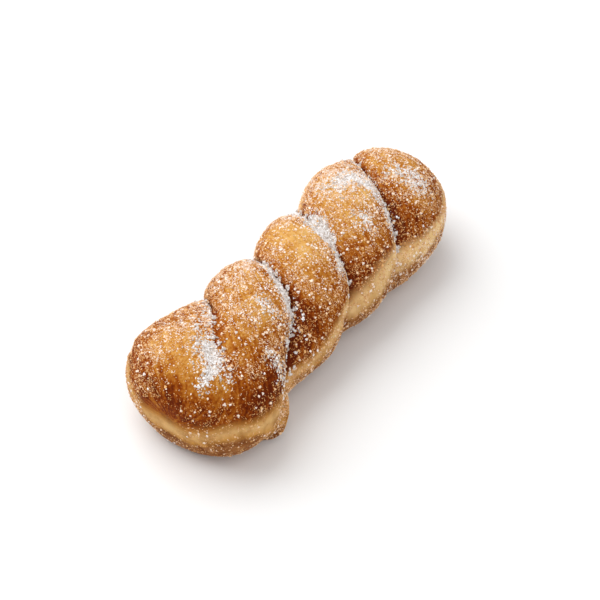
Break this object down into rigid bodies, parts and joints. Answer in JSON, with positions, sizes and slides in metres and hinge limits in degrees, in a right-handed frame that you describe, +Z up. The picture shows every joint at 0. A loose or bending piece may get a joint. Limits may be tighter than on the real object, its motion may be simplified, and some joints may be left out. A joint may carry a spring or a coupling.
{
  "type": "twist doughnut",
  "caption": "Long fried doughnut of yeast dough, twisted on itself into a left-handed twist with a broad loop at one end, golden brown with a pale band and coated in granulated sugar",
  "frame": {"origin": "Middle of the doughnut's footprint, on the surface that it rests on", "axes": "+X along the twist, from the broad heart-shaped loop towards the rounder far end; +Z up; +Y across the twist"},
  "size_m": [0.1642, 0.0618, 0.0433],
  "materials": {
    "crust": "fried golden-brown crust, slightly glossy",
    "sugar": "white granulated sugar"
  },
  "bodies": {
    "root": {"twist_doughnut": "crust"}
  },
  "joints": []
}
